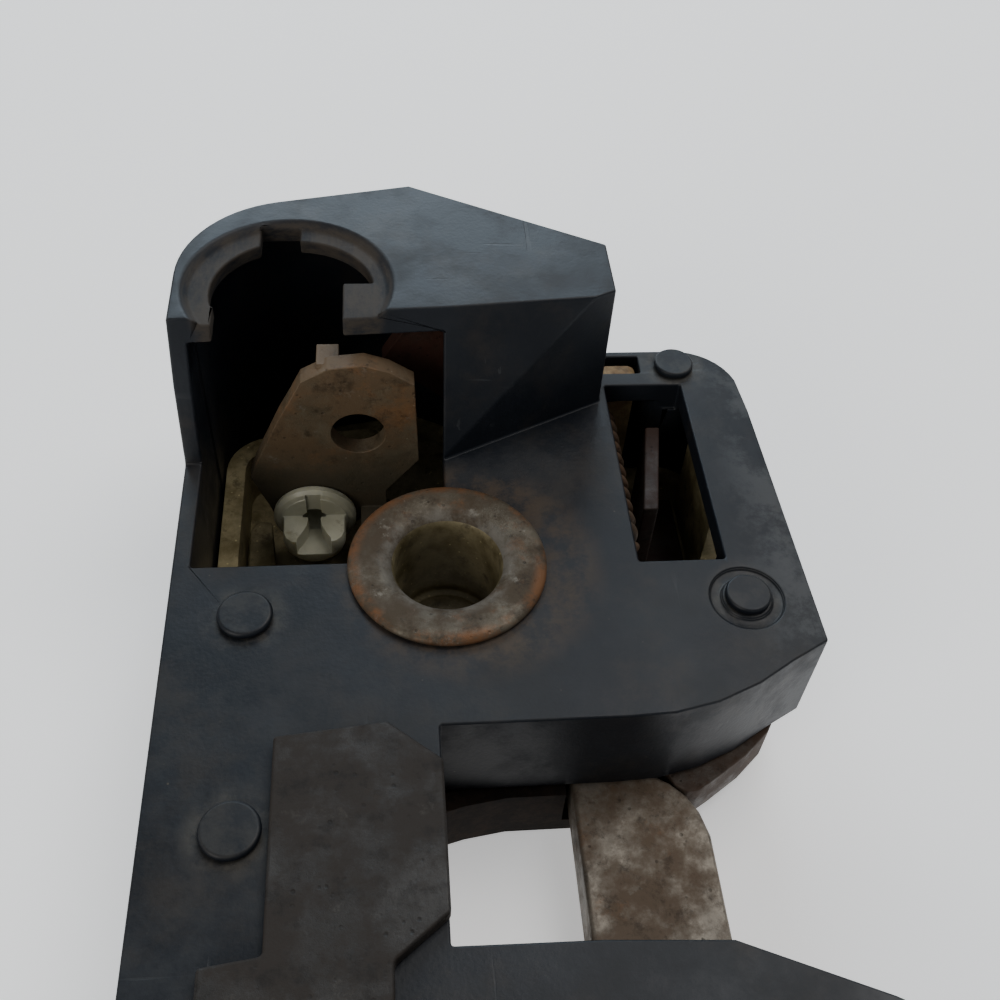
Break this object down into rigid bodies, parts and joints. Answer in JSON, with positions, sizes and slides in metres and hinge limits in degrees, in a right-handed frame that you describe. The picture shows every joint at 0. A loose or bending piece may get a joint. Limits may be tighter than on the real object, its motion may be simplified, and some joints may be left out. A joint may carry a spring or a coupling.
{
  "type": "rotary door latch",
  "caption": "Rotary door latch: sprung claw and pawl between a pressed tray and a black cover with a raised hood, a release lever and rod clip.",
  "frame": {"origin": "axis of the upper fixing bush at the back face of the tray", "axes": "+Z out of the cover's face, along the bush bores; +Y along the latch's length to the hood; +X to the open side of the throat"},
  "size_m": [0.0598, 0.1095, 0.0345],
  "materials": {
    "tray_steel": "yellow passivated sheet steel, dusty",
    "cover_plastic": "black moulded plastic, dusty and scuffed",
    "pin_plastic": "black moulded plastic",
    "bush_steel": "turned steel, rusty flange and yellow passivated bore",
    "claw_steel": "hardened steel plate with rust",
    "pawl_steel": "hardened steel plate with rust and scrape marks",
    "spring_steel": "spring wire with light rust",
    "washer_plastic": "natural nylon",
    "pin_steel": "plain steel",
    "lever_steel": "pressed steel with rust",
    "clip_plastic": "natural nylon, slightly greasy",
    "zinc_steel": "yellow passivated steel",
    "bracket_steel": "pressed steel, reddish brown rust",
    "strap_steel": "pressed steel, dark with rust"
  },
  "bodies": {
    "housing": {"back_tray": "tray_steel", "front_cover": "cover_plastic", "cover_pins_large": "pin_plastic", "cover_pins_small": "pin_plastic", "upper_bush": "bush_steel", "lower_bush": "bush_steel", "claw_spring": "spring_steel", "pivot_washers": "washer_plastic", "pawl_spring": "spring_steel", "lever_return_spring": "spring_steel", "lock_pivot": "zinc_steel", "guide_bracket": "bracket_steel", "bracket_rivets": "pin_steel", "front_strap": "strap_steel", "spring_anchor": "bracket_steel", "spring_guide": "bracket_steel"},
    "claw": {"claw": "claw_steel"},
    "pawl": {"pawl": "pawl_steel", "pawl_spring_post": "pin_steel", "pawl_drive_pin": "pin_steel"},
    "release_lever": {"release_lever": "lever_steel", "rod_clip": "clip_plastic"},
    "lock_lever": {"lock_lever": "zinc_steel"}
  },
  "joints": [
    {"name": "claw_pivot", "type": "hinge", "parent": "housing", "child": "claw", "pos_m": [0, -0.053, 0.005], "axis": [0, 0, -1], "range_deg": [0, 52], "stiffness_Nm_per_rad": 0.02, "springref_deg": -11.46},
    {"name": "pawl_pivot", "type": "hinge", "parent": "housing", "child": "pawl", "pos_m": [0, 0, 0.005], "axis": [0, 0, 1], "range_deg": [0, 16]},
    {"name": "lever_pivot", "type": "hinge", "parent": "housing", "child": "release_lever", "pos_m": [0, 0, 0.009], "axis": [0, 0, 1], "range_deg": [0, 8]},
    {"name": "lock_pivot", "type": "hinge", "parent": "housing", "child": "lock_lever", "pos_m": [-0.017, 0.0035, 0.003], "axis": [0, 0, -1], "range_deg": [0, 14]}
  ],
  "couplings": [
    {"joint": "pawl_pivot", "follows": "claw_pivot", "ratio": 0.30769},
    {"joint": "lever_pivot", "follows": "claw_pivot", "ratio": 0.15385}
  ]
}
